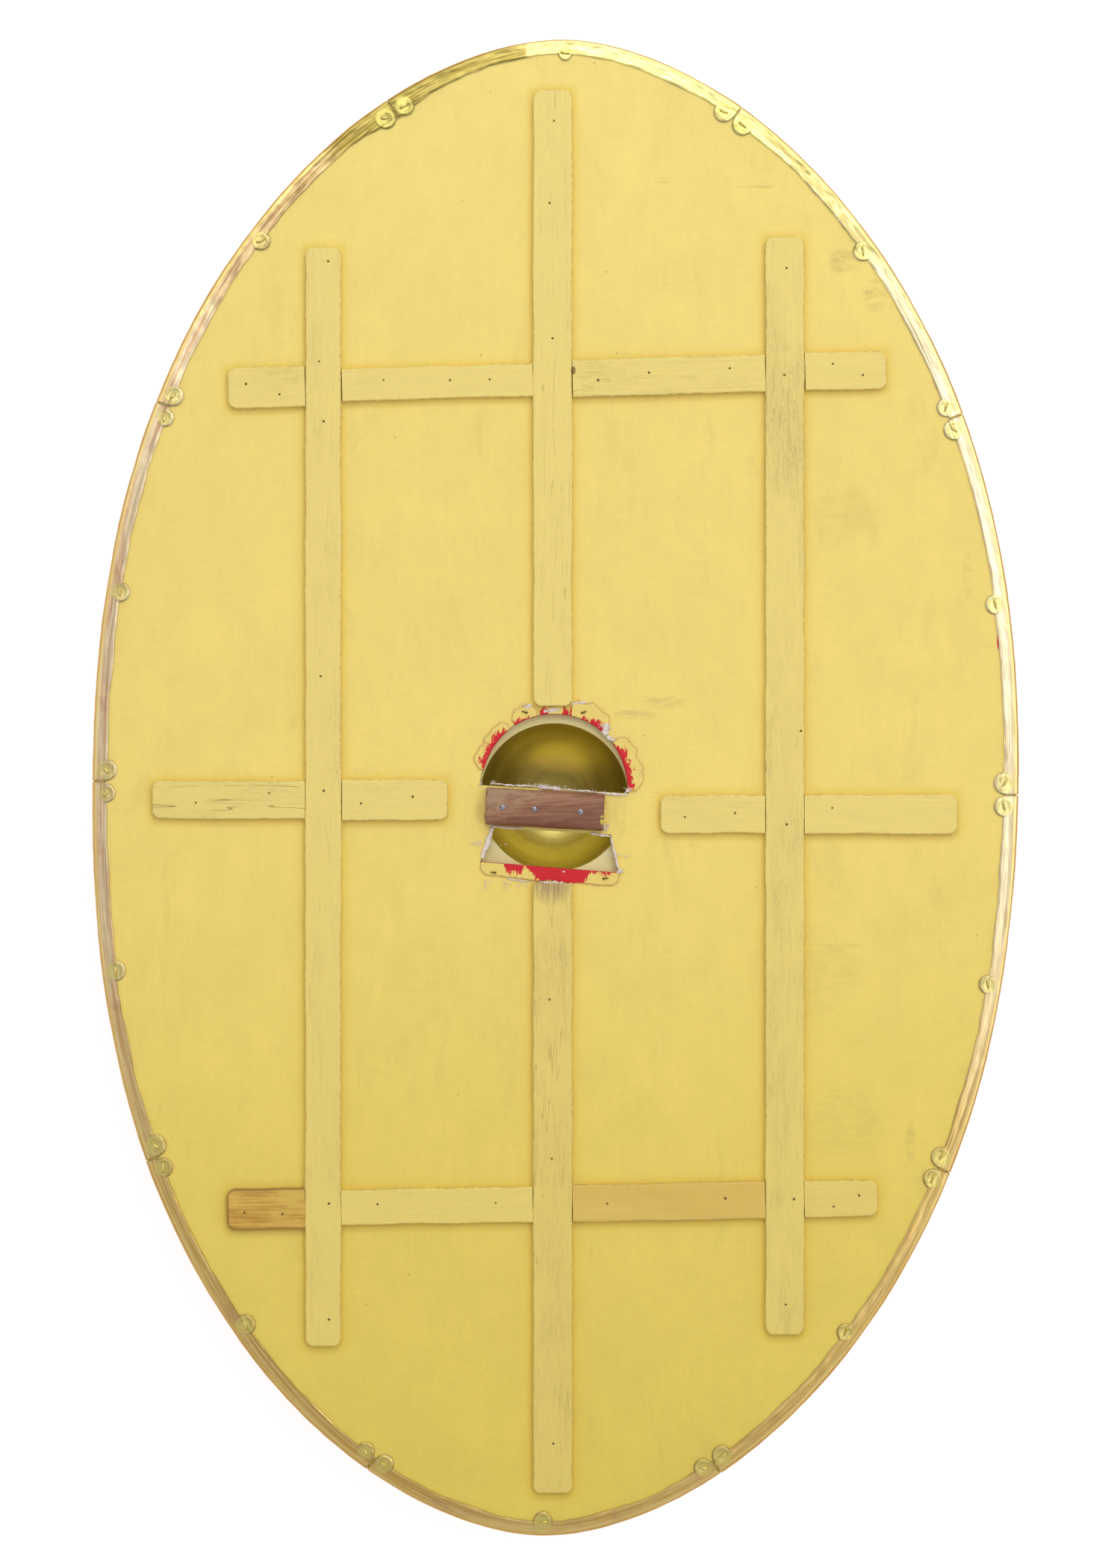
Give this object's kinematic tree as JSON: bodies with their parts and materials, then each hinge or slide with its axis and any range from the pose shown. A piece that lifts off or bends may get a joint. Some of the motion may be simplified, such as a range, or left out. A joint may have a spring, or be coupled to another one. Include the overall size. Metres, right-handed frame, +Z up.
{
  "type": "roman scutum shield",
  "caption": "Flat oval late Roman shield: painted board with battens inside, hand grip across the hole behind a domed brass boss, and a nailed brass edging.",
  "frame": {"origin": "middle of the bottom of the bounding box, on the surface the shield lies on", "axes": "+Z up, +Y to the shield's top end along its length, +X to the right as the bearer sees the inside; the board leans 5.1 degrees about X, its top rim down"},
  "size_m": [0.711, 1.1432, 0.1151],
  "materials": {
    "painted_board": "warm yellow paint over wood, satin, with faint weave and smudges",
    "painted_batten": "thin yellow paint over grained wood, rubbed along the edges",
    "bare_batten": "bare softwood, matt",
    "grip_wood": "dark brown handled wood, satin",
    "red_linen": "red paint over plain woven linen, frayed white where it is cut",
    "edging_brass": "hammered sheet brass, soft sheen",
    "boss_brass": "spun brass with fine turning marks, olive tarnish inside",
    "nail_metal": "dull grey nails"
  },
  "bodies": {
    "root": {"board": "painted_board", "facing_cloth": "red_linen", "boss": "boss_brass", "grip": "grip_wood", "batten_left": "painted_batten", "batten_right": "painted_batten", "batten_centre_top": "painted_batten", "batten_centre_bottom": "painted_batten", "batten_top_row_1": "painted_batten", "batten_top_row_2": "painted_batten", "batten_top_row_3": "painted_batten", "batten_top_row_4": "painted_batten", "batten_bottom_row_1": "bare_batten", "batten_bottom_row_2": "painted_batten", "batten_bottom_row_3": "painted_batten", "batten_bottom_row_4": "painted_batten", "batten_middle_left_outer": "painted_batten", "batten_middle_left_inner": "painted_batten", "batten_middle_right_outer": "painted_batten", "batten_middle_right_inner": "painted_batten", "edging_1": "edging_brass", "edging_2": "edging_brass", "edging_3": "edging_brass", "edging_4": "edging_brass", "edging_5": "edging_brass", "edging_6": "edging_brass", "edging_7": "edging_brass", "edging_8": "edging_brass", "edging_9": "edging_brass", "edging_10": "edging_brass", "boss_nail_1": "nail_metal", "boss_nail_2": "nail_metal", "boss_nail_3": "nail_metal", "boss_nail_4": "nail_metal", "grip_nail_1": "nail_metal", "grip_nail_2": "nail_metal", "grip_nail_3": "nail_metal"}
  },
  "joints": []
}
